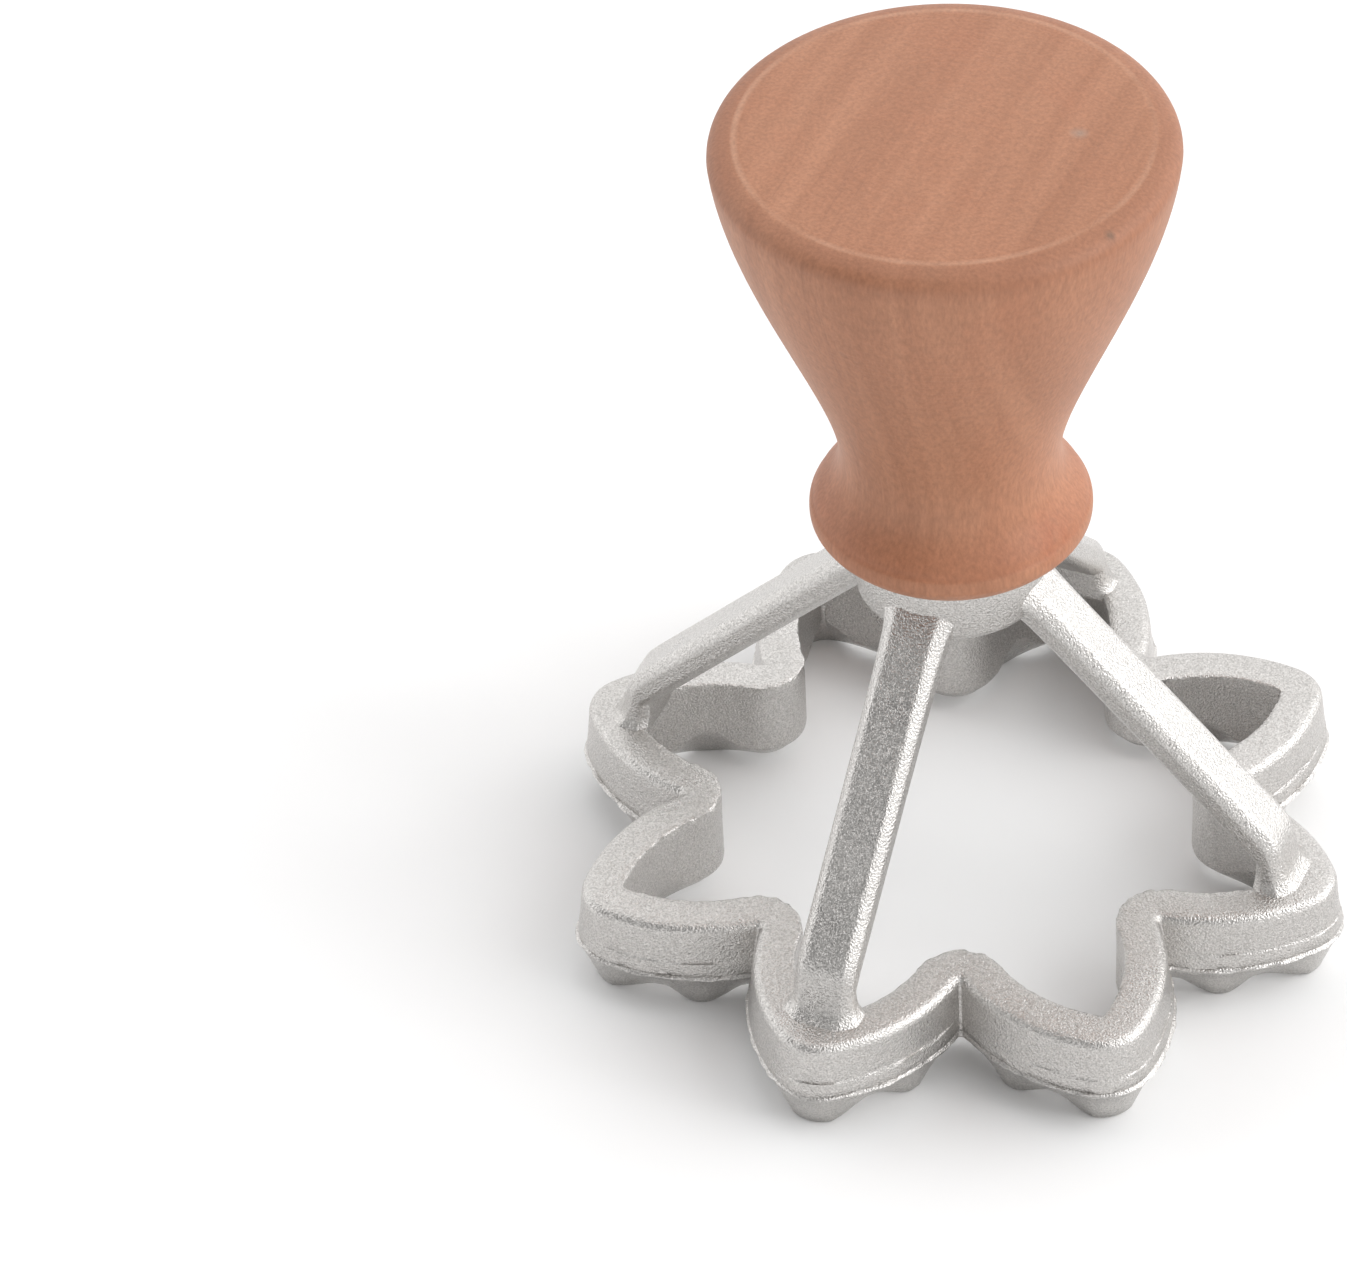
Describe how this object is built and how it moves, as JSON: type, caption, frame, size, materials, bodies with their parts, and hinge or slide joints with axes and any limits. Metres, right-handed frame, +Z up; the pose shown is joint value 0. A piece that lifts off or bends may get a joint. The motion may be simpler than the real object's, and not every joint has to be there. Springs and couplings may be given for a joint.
{
  "type": "ravioli stamp",
  "caption": "Flower-shaped ravioli stamp: a cast aluminium cutter with a toothed edge, carried on legs under a turned wooden knob.",
  "frame": {"origin": "on the stamp's axis, in the plane that the teeth stand on", "axes": "+Z up the axis towards the knob's top; one of the four legs points along -Y"},
  "size_m": [0.075, 0.075, 0.0851],
  "materials": {
    "cast_aluminium": "as cast, tumbled, fine grain",
    "turned_wood": "sanded, thin oil",
    "zinc_steel": "zinc plated"
  },
  "bodies": {
    "root": {"cutter_casting": "cast_aluminium", "knob": "turned_wood", "knob_screw": "zinc_steel"}
  },
  "joints": []
}
